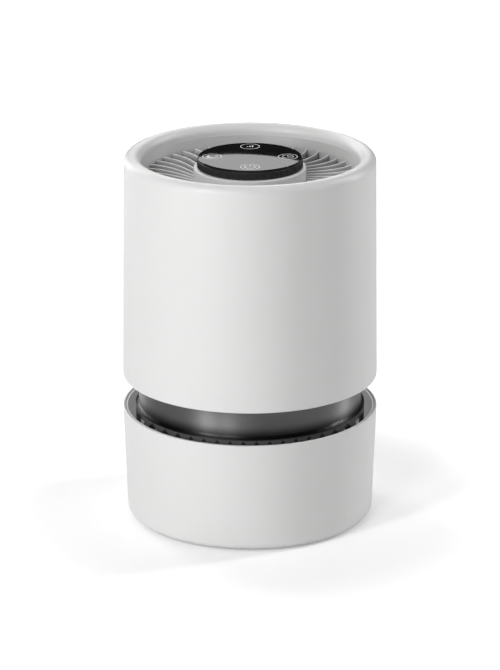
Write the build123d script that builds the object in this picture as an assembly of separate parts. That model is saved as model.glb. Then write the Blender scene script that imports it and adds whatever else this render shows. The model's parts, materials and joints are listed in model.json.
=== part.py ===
from build123d import *
import math
import os

# A round desk-top air purifier. Millimetres, Z up, origin on the surface it stands on.
# The front is -Y. Air enters the open gap, goes down the channel in the base cup, in through
# the windows, through the filter to its bore, up through the fan and out of the top.

# Overall sizes
BODY_RADIUS = 85.5  # of the cup's rim and of the upper shell's lower edge
CUP_HEIGHT = 74.5
INTAKE_GAP = 22.5  # open height between the cup and the upper shell
SHELL_HEIGHT = 151.5
SHELL_DRAFT = 2.0  # how much narrower the shell is at its rim
FOOT_LIFT = 1.5  # the feet hold the cup this far off the table

# Base cup
CUP_DRAFT = 2.6  # how much narrower the cup is at its foot
CUP_WALL = 2.2
CUP_FLOOR = 2.5
CUP_LIP = 1.9
CUP_EDGE = 4.5
FOOT_RADIUS = 7.0
FOOT_RECESS = 1.0
FOOT_INSET = 16.5
LINER_WALL = 1.0
LINER_DROP = 0.7  # the liner's edge lies this far below the cup's lip
CHANNEL_DEPTH = 32.0
SHELF_THICKNESS = 2.0
LUG_ANGLE = 12.0
LUG_THICKNESS = 2.0
TURN_LUGS = 4

# Inlet ring and neck
NECK_SETBACK = 10.5  # the neck stands this far inside the upper shell's face
NECK_WALL = 1.7
NECK_FLARE = 2.0
RING_WALL = 1.7
RING_FLANGE = 2.6
WINDOW_PITCH = 8.6
WINDOW_WIDTH = 5.3
WINDOW_TOP_BAR = 3.0
WINDOW_SILL = 5.0
DOG_ANGLE = 14.0
DOG_LENGTH = 10.0

# Upper shell and chassis
SHELL_WALL = 2.5
RIM_WIDTH = 11.0  # full-round top rim
FLANGE_RECESS = 1.5
FLANGE_THICKNESS = 2.0
BOSS_RADIUS = 3.25
BOSS_LENGTH = 12.0
SHELL_SCREW_ANGLE = 20.0  # clear of the chassis ears, which stand at 45 degrees
DUCT_WALL = 2.0
PLATE_THICKNESS = 2.5
THROAT_RADIUS = 31.5
BELL_ROLL = 8.5
BELL_WALL = 1.8

# Fan stack, measured down from the top
GRILLE_DEPTH = 24.0
STATOR_HEIGHT = 36.0
HUB_FLOOR = 2.5
HUB_WALL = 1.8
GUIDE_VANES = 9
IMPELLER_HEIGHT = 30.0
IMPELLER_TIP_GAP = 15.0
IMPELLER_HEADROOM = 8.0
IMPELLER_FOOTROOM = 7.0
IMPELLER_BLADES = 11
EYE_RADIUS = 35.0

# Outlet grille
LOUVRES = 45
LOUVRE_THICKNESS = 1.1
LOUVRE_HEIGHT = 10.0
LOUVRE_OUTER_DROP = 13.8  # from the rim's top to the louvres at the wall
LOUVRE_INNER_DROP = 17.4  # and at the hub
LOUVRE_START = 1.0
LOUVRE_MID_SWEEP = -9.1  # clockwise sweep at half the radius, then at the wall
LOUVRE_END_SWEEP = -7.6
GRILLE_WALL = 1.9
HUB_RADIUS = 37.1
HUB_TOP_DROP = 9.0
HUB_SHOULDER = 2.1

# Control panel
PANEL_HEIGHT = 5.2
KNURLS = 120
KNURL_DEPTH = 0.35
GLASS_THICKNESS = 1.4
GLASS_INSET = 0.6
ICON_CIRCLE = 25.0
ICON_RADIUS = 6.5
ICON_STROKE = 0.45
ICON_DEPTH = 0.2
BOARD_THICKNESS = 1.6

# Motor
SHAFT_RADIUS = 1.5
BEARING_RADIUS = 4.0
BEARING_WIDTH = 3.0
TUBE_RADIUS = 5.2
STATOR_RADIUS = 18.6
AIR_GAP = 0.8
MAGNET_THICKNESS = 1.6
CAN_WALL = 1.2
STATOR_TEETH = 9
STATOR_STACK = 12.0
FLANGE_RADIUS = 24.0

# Filter cartridge
PLENUM = 9.3  # free width round the filter, inside the neck
FILTER_BORE = 35.0
PLEATS = 48
CAP_THICKNESS = 3.0
SEAT_THICKNESS = 6.0
GASKET_THICKNESS = 2.3
SLEEVE_WALL = 0.8
CARBON_WALL = 4.5

# Power inlet
INLET_HEIGHT = 16.0  # above the upper shell's lower edge
INLET_WIDTH = 9.0
INLET_THICKNESS = 3.2
INLET_LENGTH = 7.4
INLET_WALL = 0.3
INLET_BOARD_WIDTH = 36.0
CABLE_RADIUS = 1.5
CABLE_SHIFT = -9.0  # the lead runs up beside the inlet

# Fits
SLIDE_FIT = 0.2
TURN_FIT = 0.3
RUNNING_FIT = 0.05
SCREW_RADIUS = 1.5
PILOT_RADIUS = 1.3

# Levels
cup_low = FOOT_LIFT
cup_rim = FOOT_LIFT + CUP_HEIGHT
shell_low = cup_rim + INTAKE_GAP
top = shell_low + SHELL_HEIGHT
neck_foot = cup_rim + 0.4
channel_floor = cup_rim - CHANNEL_DEPTH
flange_low = shell_low + FLANGE_RECESS
duct_top = top - GRILLE_DEPTH
hub_floor = duct_top - STATOR_HEIGHT
impeller_top = hub_floor - IMPELLER_HEADROOM
impeller_low = impeller_top - IMPELLER_HEIGHT
plate_top = impeller_low - IMPELLER_FOOTROOM
plate_low = plate_top - PLATE_THICKNESS
filter_low = cup_low + CUP_FLOOR + SEAT_THICKNESS
filter_top = plate_low - GASKET_THICKNESS - SLIDE_FIT
rim_centre = top - RIM_WIDTH / 2
hub_top = top - HUB_TOP_DROP
panel_top = hub_top + PANEL_HEIGHT

# Radii
rim_radius = BODY_RADIUS - SHELL_DRAFT
bowl = rim_radius - RIM_WIDTH
duct_out = bowl + SHELL_WALL
duct_in = duct_out - DUCT_WALL
neck = BODY_RADIUS - NECK_SETBACK
neck_in = neck - NECK_WALL
ring_out = neck + NECK_FLARE
ring_in = ring_out - RING_WALL
filter_radius = neck_in - PLENUM
impeller_radius = duct_in - IMPELLER_TIP_GAP
louvre_wall = bowl - SLIDE_FIT - GRILLE_WALL
panel = HUB_RADIUS - HUB_SHOULDER
drum_in = HUB_RADIUS - HUB_WALL
hub_out = drum_in - SLIDE_FIT
hub_in = hub_out - HUB_WALL
ear_circle = duct_out + BOSS_RADIUS - 0.4
magnet_out = STATOR_RADIUS + AIR_GAP + MAGNET_THICKNESS
can_out = magnet_out + CAN_WALL
inlet_z = shell_low + INLET_HEIGHT


def shell_face(z):
    """Radius of the upper shell's drafted side at a height."""
    return BODY_RADIUS - SHELL_DRAFT * (z - shell_low) / (rim_centre - shell_low)


def shell_in(z):
    """Radius of the upper shell's inner wall at a height."""
    return shell_face(z) - SHELL_WALL


flange_high = flange_low + FLANGE_THICKNESS
boss_circle = shell_in(flange_high) - BOSS_RADIUS + 0.3
inlet_wall = shell_in(inlet_z + INLET_THICKNESS)
cable_y = duct_out + CABLE_RADIUS + 0.6


def turned(*points):
    """A solid turned about Z from an outline of (radius, height) points."""
    return revolve(Plane.XZ * make_face(Polyline(*points, close=True)), Axis.Z)


def tube(inner, outer, low, high):
    """A plain ring or, with no inner radius, a disc."""
    return turned((inner, low), (outer, low), (outer, high), (inner, high))


def sector(inner, outer, low, high, angle):
    """A piece of a ring, centred on the +X axis."""
    outline = Polyline((inner, low), (outer, low), (outer, high), (inner, high), close=True)
    piece = revolve(Plane.XZ * make_face(outline), Axis.Z, revolution_arc=angle)
    return Rot(0, 0, -angle / 2) * piece


def around(piece, count, start=0.0):
    """Copies of a piece, evenly spaced about Z."""
    return [Rot(0, 0, start + 360 / count * i) * piece for i in range(count)]


def rod(radius, low, high, x=0.0, y=0.0):
    """An upright cylinder."""
    return Pos(x, y, low) * Cylinder(radius, high - low, align=(Align.CENTER, Align.CENTER, Align.MIN))


def block(width, depth, low, high, x=0.0, y=0.0):
    """An upright box."""
    return Pos(x, y, low) * Box(width, depth, high - low, align=(Align.CENTER, Align.CENTER, Align.MIN))


def joined(first, others):
    """One solid from a body and the pieces moulded on it."""
    for other in others:
        first = first + other
    return first


def cut(first, others):
    """A body with each of the others taken out of it."""
    for other in others:
        first = first - other
    return first


def group(pieces):
    """Separate solids that share one node."""
    return Compound(children=[solid for piece in pieces for solid in piece.solids()])


def screw(x, y, seat, length, up):
    """A pan-head screw whose head lies under its seat (up) or on it."""
    turn = 1 if up else -1
    head_low, head_high = sorted((seat, seat - 2 * turn))
    shank_low, shank_high = sorted((seat, seat + length * turn))
    drive_low = head_low if up else head_high - 1
    body = rod(2 * SCREW_RADIUS - 0.2, head_low, head_high, x, y)
    body = body + rod(SCREW_RADIUS - 0.25, shank_low, shank_high, x, y)
    return body - block(2.6, 0.7, drive_low, drive_low + 1, x, y)


def on_circle(radius, count, start):
    """Points evenly spaced on a circle."""
    angles = [math.radians(start + 360 / count * i) for i in range(count)]
    return [(radius * math.cos(a), radius * math.sin(a)) for a in angles]


# --- base cup ---------------------------------------------------------------------------


def cup_inside(z):
    """Radius of the cup's drafted inner wall at a height."""
    foot = BODY_RADIUS - CUP_DRAFT - CUP_WALL
    share = (z - cup_low - CUP_FLOOR) / (CUP_HEIGHT - CUP_FLOOR)
    return foot + (BODY_RADIUS - CUP_LIP - foot) * share


post_circle = on_circle(neck - 1.0, 4, 45)
foot_circle = on_circle(BODY_RADIUS - FOOT_INSET, 4, 45)


def base_shell():
    """The white cup, with four posts for the liner and recesses for the feet."""
    foot = BODY_RADIUS - CUP_DRAFT
    floor = cup_low + CUP_FLOOR
    outline = make_face(
        Polyline(
            (0, cup_low),
            (foot, cup_low),
            (BODY_RADIUS, cup_rim),
            (BODY_RADIUS - CUP_LIP, cup_rim),
            (cup_inside(floor), floor),
            (0, floor),
            close=True,
        )
    )
    corner = outline.vertices().sort_by(Axis.X)
    outline = fillet([v for v in corner if v.X > 1 and v.Y < cup_low + 0.1], CUP_EDGE)
    outline = fillet([v for v in outline.vertices() if v.Y > cup_rim - 0.1], CUP_LIP * 0.35)
    cup = revolve(Plane.XZ * outline, Axis.Z)
    posts = [rod(3.5, floor, channel_floor - SHELF_THICKNESS, x, y) for x, y in post_circle]
    pilots = [rod(PILOT_RADIUS, channel_floor - 12, channel_floor, x, y) for x, y in post_circle]
    recess = [rod(FOOT_RADIUS + SLIDE_FIT, 0, cup_low + FOOT_RECESS, x, y) for x, y in foot_circle]
    return cut(joined(cup, posts), pilots + recess)


def rubber_feet():
    return group([rod(FOOT_RADIUS, 0, cup_low + FOOT_RECESS, x, y) for x, y in foot_circle])


def channel_liner():
    """Lines the cup's wall and floors the air channel. Its lugs hold the inlet ring down."""
    low, high = channel_floor - SHELF_THICKNESS, cup_rim - LINER_DROP
    gap = 0.1
    inner = filter_radius + 5.0
    liner = turned(
        (inner, low),
        (cup_inside(low) - gap, low),
        (cup_inside(high) - gap, high),
        (cup_inside(high) - gap - LINER_WALL, high),
        (cup_inside(channel_floor) - gap - LINER_WALL, channel_floor),
        (inner, channel_floor),
    )
    lug_low = channel_floor + RING_WALL + 3 * TURN_FIT
    lug = sector(
        ring_out + 2 * TURN_FIT,
        cup_inside(lug_low) - LINER_WALL / 2,
        lug_low,
        lug_low + LUG_THICKNESS,
        LUG_ANGLE,
    )
    holes = [rod(SCREW_RADIUS + 0.2, low, channel_floor, x, y) for x, y in post_circle]
    sinks = [rod(2 * SCREW_RADIUS, channel_floor - 1, channel_floor, x, y) for x, y in post_circle]
    return cut(joined(liner, around(lug, TURN_LUGS)), holes + sinks)


def liner_screws():
    """Flat screws, sunk flush so that the ring turns over them."""
    seat = channel_floor - 1
    pieces = []
    for x, y in post_circle:
        head = rod(2 * SCREW_RADIUS - 0.2, seat, channel_floor - 0.2, x, y)
        pieces.append(head + rod(PILOT_RADIUS - 0.05, seat - 9, seat, x, y))
    return group(pieces)


def filter_seat():
    """Soft ring on the cup's floor that the filter stands on and is centred by."""
    floor = cup_low + CUP_FLOOR
    edge = filter_radius + TURN_FIT
    return turned(
        (edge - 9, floor),
        (edge + 2, floor),
        (edge + 2, filter_low + 2.5),
        (edge, filter_low + 2.5),
        (edge, filter_low),
        (edge - 9, filter_low),
    )


# --- inlet ring -------------------------------------------------------------------------


def inlet_ring():
    """Captive ring with the intake windows. It turns in the cup and takes the neck."""
    low = channel_floor + SLIDE_FIT
    flange_top = low + RING_WALL
    ring = tube(ring_in, ring_out, low, neck_foot)
    flange = tube(ring_in - RING_FLANGE, ring_out + RING_FLANGE, low, flange_top)
    notch = sector(ring_out + TURN_FIT, ring_out + 9, low, flange_top, LUG_ANGLE + 2)
    rib_angle = math.degrees(2.0 / ring_in)
    rib_shift = DOG_ANGLE / 2 + rib_angle / 2 + math.degrees(TURN_FIT / ring_in)
    rib = sector(neck_in - 0.8, ring_in + 0.2, flange_top - 0.2, neck_foot, rib_angle)
    ribs = [Rot(0, 0, s) * r for s in (-rib_shift, rib_shift) for r in around(rib, 4, 45)]
    body = cut(joined(ring + flange, ribs), around(notch, TURN_LUGS, 45))
    sill = flange_top + WINDOW_SILL
    head = neck_foot - WINDOW_TOP_BAR
    count = int(ring_in / WINDOW_PITCH + 0.5)
    for i in range(count):
        x = (i + 0.5) * WINDOW_PITCH
        near = math.sqrt(ring_in**2 - min(x, ring_in - 1) ** 2) - 5.0
        far = ring_out + 1
        for sx in (-1, 1):
            for sy in (-1, 1):
                window = block(WINDOW_WIDTH, far - near, sill, head, sx * x, sy * (far + near) / 2)
                body = body - window
    return body


# --- upper unit -------------------------------------------------------------------------


def ear_webs(low, high):
    """Webs that tie the screw ears to the neck, however far out the ears stand."""
    near = neck - NECK_WALL / 2
    web = block(ear_circle - near, 2 * BOSS_RADIUS - 2.5, low, high, (ear_circle + near) / 2)
    return around(web, 4, 45)


def neck_tube():
    """Satin neck with its foot cove, the flange that closes the shell, and drive dogs."""
    cove = NECK_FLARE
    edge = neck_foot + 0.9
    start, end = (ring_out, edge), (neck, edge + cove)
    middle = (ring_out - cove * math.sin(math.pi / 4), edge + cove * (1 - math.cos(math.pi / 4)))
    sides = [
        Line((neck_in, neck_foot), (ring_out, neck_foot)),
        Line((ring_out, neck_foot), start),
        ThreePointArc(start, middle, end),
        Line(end, (neck, plate_low)),
        Line((neck, plate_low), (neck_in, plate_low)),
        Line((neck_in, plate_low), (neck_in, neck_foot)),
    ]
    body = revolve(Plane.XZ * make_face(sides), Axis.Z)
    body = body + tube(neck - 0.5, shell_in(flange_high) - SLIDE_FIT, flange_low, flange_high)
    dog_low, dog_high = neck_foot - DOG_LENGTH, neck_foot + 0.5
    dog = sector(neck_in + 0.15, ring_in - 2 * SLIDE_FIT, dog_low, dog_high, DOG_ANGLE)
    ear_points = on_circle(ear_circle, 4, 45)
    ears = [rod(BOSS_RADIUS, plate_low - BOSS_LENGTH, plate_low, x, y) for x, y in ear_points]
    ears += ear_webs(plate_low - BOSS_LENGTH, plate_low)
    body = joined(body, around(dog, 4, 45) + ears)
    screw_points = on_circle(boss_circle, 4, SHELL_SCREW_ANGLE)
    holes = [rod(SCREW_RADIUS + 0.2, flange_low, flange_high, x, y) for x, y in screw_points]
    pilots = [rod(PILOT_RADIUS, plate_low - BOSS_LENGTH + 1, plate_low, x, y) for x, y in ear_points]
    return cut(body, holes + pilots)


def upper_shell():
    """White shell: drafted side, full-round rim and the bowl wall, one even thickness."""
    bowl_low = duct_top + 2 * SLIDE_FIT + GRILLE_WALL
    mid = rim_radius - RIM_WIDTH / 2
    roll_in = RIM_WIDTH / 2 - SHELL_WALL
    end = (shell_in(rim_centre), rim_centre)
    sides = [
        Line((BODY_RADIUS, shell_low), (rim_radius, rim_centre)),
        ThreePointArc((rim_radius, rim_centre), (mid, top), (bowl, rim_centre)),
        Line((bowl, rim_centre), (bowl, bowl_low)),
        Line((bowl, bowl_low), (duct_out, bowl_low)),
        Line((duct_out, bowl_low), (duct_out, rim_centre)),
        ThreePointArc((duct_out, rim_centre), (mid, rim_centre + roll_in), end),
        Line(end, (shell_in(shell_low), shell_low)),
        Line((shell_in(shell_low), shell_low), (BODY_RADIUS, shell_low)),
    ]
    outline = make_face(sides)
    outline = fillet([v for v in outline.vertices() if v.Y < shell_low + 0.1], 0.5)
    body = revolve(Plane.XZ * outline, Axis.Z)
    seat = flange_high
    points = on_circle(boss_circle, 4, SHELL_SCREW_ANGLE)
    bosses = [rod(BOSS_RADIUS, seat, seat + BOSS_LENGTH, x, y) for x, y in points]
    pilots = [rod(PILOT_RADIUS, seat, seat + BOSS_LENGTH - 1, x, y) for x, y in points]
    half_width, half_height = INLET_WIDTH / 2 + SLIDE_FIT, INLET_THICKNESS / 2 + SLIDE_FIT
    slot = inlet_form(half_width, half_height, inlet_wall - 4, BODY_RADIUS + 4)
    posts = [block(4.4, 8, inlet_z - 9, inlet_board_low, x, inlet_post_y + 1.8) for x in inlet_posts]
    posts = [post & rod(inlet_wall + 0.5, inlet_z - 9, inlet_board_low) for post in posts]
    pilots += [rod(0.9, inlet_z - 8, inlet_board_low, x, inlet_post_y) for x in inlet_posts]
    return cut(joined(body, bosses + posts), pilots + [slot])


def inlet_form(half_width, half_height, near, far):
    """A rounded slot's solid, lying along Y."""
    shape = RectangleRounded(2 * half_width, 2 * half_height, half_height - 0.01)
    return Pos(0, far, inlet_z) * Rot(90, 0, 0) * extrude(shape, far - near)


def shell_screws():
    return group([screw(x, y, flange_low, 8, True) for x, y in on_circle(boss_circle, 4, SHELL_SCREW_ANGLE)])


def bellmouth_plate():
    """Carries the filter's seal and rolls up into the fan's inlet."""
    roll = THROAT_RADIUS + BELL_ROLL
    lip = plate_low + BELL_ROLL
    inner = BELL_ROLL - BELL_WALL
    s = math.sin(math.pi / 4)
    sides = [
        Line((roll, plate_low), (neck, plate_low)),
        Line((neck, plate_low), (neck, plate_top)),
        Line((neck, plate_top), (roll, plate_top)),
        Line((roll, plate_top), (roll, plate_low + BELL_WALL)),
        ThreePointArc(
            (roll, plate_low + BELL_WALL), (roll - inner * s, lip - inner * s), (roll - inner, lip)
        ),
        Line((roll - inner, lip), (THROAT_RADIUS, lip)),
        ThreePointArc((THROAT_RADIUS, lip), (roll - BELL_ROLL * s, lip - BELL_ROLL * s), (roll, plate_low)),
    ]
    plate = revolve(Plane.XZ * make_face(sides), Axis.Z)
    points = on_circle(ear_circle, 4, 45)
    ears = [rod(BOSS_RADIUS, plate_low, plate_top, x, y) for x, y in points]
    ears += ear_webs(plate_low, plate_top)
    holes = [rod(SCREW_RADIUS + 0.2, plate_low, plate_top, x, y) for x, y in points]
    return cut(joined(plate, ears), holes)


def stator_duct():
    """Fan duct with the guide vanes and the hub cup that carries motor and board."""
    body = tube(duct_in, duct_out, plate_top, duct_top)
    hub_high = duct_top + 3
    hub = tube(hub_in, hub_out, hub_floor, hub_high) + tube(12, hub_out, hub_floor, hub_floor + HUB_FLOOR)
    span = duct_in - hub_out
    middle = (duct_in + hub_out) / 2
    vane = block(span + 1, 2, hub_floor + 6, duct_top - 4, middle)
    vanes = around(vane, GUIDE_VANES, 90 + 180 / GUIDE_VANES)
    bridge = block(7, span + 4, wire_z - 4, wire_z + 4, CABLE_SHIFT, middle - 2)
    points = on_circle(ear_circle, 4, 45)
    ears = [rod(BOSS_RADIUS, plate_top, plate_top + 5, x, y) for x, y in points]
    posts = [rod(3, hub_floor + 1, board_low, x, y) for x, y in on_circle(board_post, 3, 30)]
    body = joined(body + hub, vanes + [bridge] + ears + posts)
    holes = [rod(SCREW_RADIUS + 0.2, plate_top, plate_top + 5, x, y) for x, y in points]
    pilots = [rod(PILOT_RADIUS, board_low - 8, board_low, x, y) for x, y in on_circle(board_post, 3, 30)]
    mounts = [
        rod(SCREW_RADIUS + 0.2, hub_floor, hub_floor + HUB_FLOOR, x, y)
        for x, y in on_circle(motor_post, 3, 90)
    ]
    wire = Pos(CABLE_SHIFT, middle, wire_z) * Rot(90, 0, 0) * Cylinder(CABLE_RADIUS + 0.3, span + 16)
    air = rod(duct_in, plate_top, plate_top + 5)
    return cut(body, holes + pilots + mounts + [wire, air])


def chassis_screws():
    seat = plate_top + 5
    return group([screw(x, y, seat, 14, False) for x, y in on_circle(ear_circle, 4, 45)])


# --- outlet grille ----------------------------------------------------------------------


def louvre():
    """One thin curved blade. Its top edge climbs from the hub to the wall."""
    inner, outer = HUB_RADIUS - 0.5, louvre_wall + 0.5
    half = (inner + outer) / 2

    def spot(radius, sweep, side):
        angle = math.radians(sweep) + side * LOUVRE_THICKNESS / 2 / radius
        return (radius * math.cos(angle), radius * math.sin(angle))

    marks = [(inner, 0.0), (half, LOUVRE_MID_SWEEP), (outer, LOUVRE_END_SWEEP)]
    left = [spot(r, a, 1) for r, a in marks]
    right = [spot(r, a, -1) for r, a in marks]
    sides = [
        ThreePointArc(*left),
        Line(left[2], right[2]),
        ThreePointArc(*right),
        Line(right[0], left[0]),
    ]
    low = top - LOUVRE_INNER_DROP - LOUVRE_HEIGHT
    blade = Pos(0, 0, low) * extrude(make_face(sides), top - LOUVRE_OUTER_DROP - low)
    climb = turned(
        (HUB_RADIUS - 2, top - LOUVRE_INNER_DROP),
        (HUB_RADIUS, top - LOUVRE_INNER_DROP),
        (louvre_wall, top - LOUVRE_OUTER_DROP),
        (louvre_wall + 2, top - LOUVRE_OUTER_DROP),
        (louvre_wall + 2, top),
        (HUB_RADIUS - 2, top),
    )
    return blade - climb


def outlet_grille():
    """Outer ring, louvres and hub drum moulded in one."""
    ring_top = rim_centre - 2.0
    seat = duct_top
    outer = bowl - SLIDE_FIT
    ring = turned(
        (louvre_wall, seat - 2.5),
        (duct_in - SLIDE_FIT, seat - 2.5),
        (duct_in - SLIDE_FIT, seat),
        (duct_out, seat),
        (duct_out, seat + GRILLE_WALL),
        (outer, seat + GRILLE_WALL),
        (outer, ring_top),
        (outer - 0.9, ring_top),
        (louvre_wall, top - LOUVRE_OUTER_DROP),
    )
    low = top - LOUVRE_INNER_DROP - LOUVRE_HEIGHT
    drum = make_face(
        Polyline(
            (drum_in, low),
            (HUB_RADIUS, low),
            (HUB_RADIUS, hub_top),
            (panel - 12, hub_top),
            (panel - 12, hub_top - 2),
            (drum_in, hub_top - 2),
            close=True,
        )
    )
    shoulder = [v for v in drum.vertices() if v.X > HUB_RADIUS - 0.1 and v.Y > hub_top - 0.1]
    drum = revolve(Plane.XZ * fillet(shoulder, 0.7), Axis.Z)
    holes = [rod(SCREW_RADIUS + 0.1, hub_top - 2, hub_top, x, y) for x, y in on_circle(panel_post, 3, 90)]
    return cut(joined(ring, [drum] + around(louvre(), LOUVRES, LOUVRE_START)), holes)


# --- control panel ----------------------------------------------------------------------

panel_post = panel - 8.0
board_post = hub_in - 5.0
motor_post = FLANGE_RADIUS - 4.5
board_low = hub_floor + 16.0
wire_z = hub_floor + 10.0
shelf_top = hub_top + 2.0
glass_low = panel_top
glass_radius = panel - GLASS_INSET
inlet_board_high = inlet_z - INLET_THICKNESS / 2
inlet_board_low = inlet_board_high - 1.0
inlet_post_y = inlet_wall - 3.7
inlet_posts = (-INLET_BOARD_WIDTH / 2 + 2.4, INLET_BOARD_WIDTH / 2 - 2.4)


def control_bezel():
    """Black ring with a finely ribbed side, a shelf for the board and three screw posts."""
    wall = tube(panel - 2, panel - KNURL_DEPTH, hub_top, panel_top)
    ring = wall + tube(panel - 5, panel - 1, hub_top, shelf_top)
    rib = block(KNURL_DEPTH * 2, 0.8, hub_top + 0.4, panel_top - 0.3, panel - KNURL_DEPTH)
    posts = [rod(2.8, hub_top, shelf_top, x, y) for x, y in on_circle(panel_post, 3, 90)]
    web = [block(4, 5, hub_top, shelf_top, x * 1.1, y * 1.1) for x, y in on_circle(panel_post, 3, 90)]
    body = joined(ring, around(rib, KNURLS) + posts + web)
    pilots = [rod(PILOT_RADIUS, hub_top, shelf_top, x, y) for x, y in on_circle(panel_post, 3, 90)]
    return cut(body, pilots)


def ring_sketch(radius, stroke):
    return Circle(radius) - Circle(radius - stroke)


def icon_power():
    """Broken ring with a bar."""
    mark = ring_sketch(3.8, 1.3 * ICON_STROKE) - Pos(0, 3.4) * Rectangle(2.8, 2.6)
    return mark + Pos(0, 2.6) * Rectangle(1.3 * ICON_STROKE, 4.0)


def icon_night():
    """Crescent."""
    return ring_sketch(3.8, ICON_STROKE) + (Circle(3.5) - Pos(0.9, 0.6) * Circle(3.2))


def icon_timer():
    """Clock face."""
    hands = Pos(0, 1.1) * Rectangle(ICON_STROKE, 2.6) + Pos(0.9, 0) * Rectangle(2.2, ICON_STROKE)
    return ring_sketch(3.8, ICON_STROKE) + hands


def icon_speed():
    """Three bars of rising height."""
    bars = [Pos(1.7 * i, 0.5 * i) * Rectangle(0.9, 2.4 + 1.0 * i) for i in (-1, 0, 1)]
    return bars[0] + bars[1] + bars[2]


def icon_places():
    marks = [(-90, icon_power()), (180, icon_night()), (0, icon_timer()), (90, icon_speed())]
    places = []
    for angle, mark in marks:
        a = math.radians(angle)
        places.append((ICON_CIRCLE * math.cos(a), ICON_CIRCLE * math.sin(a), mark))
    return places


def icon_inlays():
    """White marks let into the glass: a ring and a plain symbol for each touch key."""
    low = glass_low + GLASS_THICKNESS - ICON_DEPTH
    pieces = []
    for x, y, mark in icon_places():
        outline = ring_sketch(ICON_RADIUS, ICON_STROKE)
        pieces += [Pos(x, y, low) * extrude(sketch, ICON_DEPTH) for sketch in (outline, mark)]
    return group(pieces)


def touch_glass():
    glass = rod(glass_radius, glass_low, glass_low + GLASS_THICKNESS)
    rim = glass.edges().filter_by(GeomType.CIRCLE).sort_by(Axis.Z)[-1]
    glass = chamfer(rim, 0.35)
    return cut(glass, list(icon_inlays().solids()))


def light_guides():
    """Short collars that carry each key's light up to the glass."""
    low = shelf_top + BOARD_THICKNESS
    inner = ICON_RADIUS - 1.6
    return group([tube_at(inner, ICON_RADIUS, low, glass_low, x, y) for x, y, _ in icon_places()])


def tube_at(inner, outer, low, high, x, y):
    return rod(outer, low, high, x, y) - rod(inner, low, high, x, y)


def touch_board():
    board = rod(panel - 2 - SLIDE_FIT, shelf_top, shelf_top + BOARD_THICKNESS)
    chips = [
        block(1.6, 1.6, shelf_top + BOARD_THICKNESS, shelf_top + BOARD_THICKNESS + 0.6, x, y)
        for x, y, _ in icon_places()
    ]
    plug = block(9, 4, shelf_top - 3, shelf_top, 8)
    return joined(board, chips + [plug])


def panel_screws():
    points = on_circle(panel_post, 3, 90)
    return group([screw(x, y, hub_top - 2, 3.6, True) for x, y in points])


# --- board, power inlet and wiring ------------------------------------------------------


def main_board():
    board = rod(hub_in - 0.5, board_low, board_low + BOARD_THICKNESS)
    points = on_circle(board_post, 3, 30)
    holes = [rod(SCREW_RADIUS + 0.1, board_low, board_low + 3, x, y) for x, y in points]
    return cut(board, holes)


def board_components():
    """Capacitors, coil, chips and connectors on the main board."""
    low = board_low + BOARD_THICKNESS
    return group(
        [
            rod(4, low, low + 9, -12, 10),
            rod(4, low, low + 9, -12, -4),
            rod(5, low, low + 6, 2, -14),
            block(8, 8, low, low + 1.2, 14, -8),
            block(5, 6, low, low + 1.6, -2, 4),
            block(9, 5, low, low + 5, 8, 0),
            block(8, 5, low, low + 5, 0, hub_in - 8),
        ]
    )


def board_screws():
    seat = board_low + BOARD_THICKNESS
    return group([screw(x, y, seat, 7, False) for x, y in on_circle(board_post, 3, 30)])


def ribbon_cable():
    """Flat lead from the main board up to the touch board."""
    low = board_low + BOARD_THICKNESS + 5
    return block(7, 0.6, low, shelf_top - 3, 8)


def power_inlet():
    """Flat low-voltage socket: a thin metal sleeve with a contact tongue, behind the slot."""
    far = shell_face(inlet_z) - 1.0
    near = far - INLET_LENGTH
    half_w, half_h = INLET_WIDTH / 2, INLET_THICKNESS / 2
    sleeve = inlet_form(half_w, half_h, near, far)
    bore = inlet_form(half_w - INLET_WALL, half_h - INLET_WALL, near + 1.0, far + 1)
    tongue_y = near + INLET_LENGTH / 2 - 0.2
    tongue = block(INLET_WIDTH - 2.4, INLET_LENGTH - 1.4, inlet_z - 0.35, inlet_z + 0.35, 0, tongue_y)
    return sleeve - bore + tongue


def inlet_board():
    """Small board that carries the socket and the lead's plug."""
    front = inlet_wall - 1.2
    back = neck + 0.4
    middle = (front + back) / 2
    board = block(INLET_BOARD_WIDTH, front - back, inlet_board_low, inlet_board_high, 0, middle)
    board = board & rod(inlet_wall - 0.3, inlet_board_low, inlet_board_high)
    plug = block(6, 4, inlet_board_high, inlet_board_high + 5, CABLE_SHIFT, cable_y)
    holes = [rod(1.2, inlet_board_low, inlet_board_high, x, inlet_post_y) for x in inlet_posts]
    return cut(board + plug, holes)


def inlet_screws():
    pieces = []
    for x in inlet_posts:
        head = rod(1.9, inlet_board_high, inlet_board_high + 1.2, x, inlet_post_y)
        pieces.append(head + rod(0.85, inlet_board_low - 4, inlet_board_high, x, inlet_post_y))
    return group(pieces)


def power_cable():
    """Round lead from the inlet board up beside the duct and through the bridge to the hub."""
    low = inlet_board_high + 5
    inner_end = hub_in - 6.0
    start = (CABLE_SHIFT, cable_y, low)
    corner, end = (CABLE_SHIFT, cable_y, wire_z), (CABLE_SHIFT, inner_end, wire_z)
    path = FilletPolyline(start, corner, end, radius=3.2)
    return sweep(Plane(start, z_dir=(0, 0, 1)) * Circle(CABLE_RADIUS), path)


# --- motor and impeller -----------------------------------------------------------------

motor_flange = impeller_top + 2.0
stack_low = impeller_top - 16.0
tube_low = stack_low - 5.5
can_low = tube_low - 1.5


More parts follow.
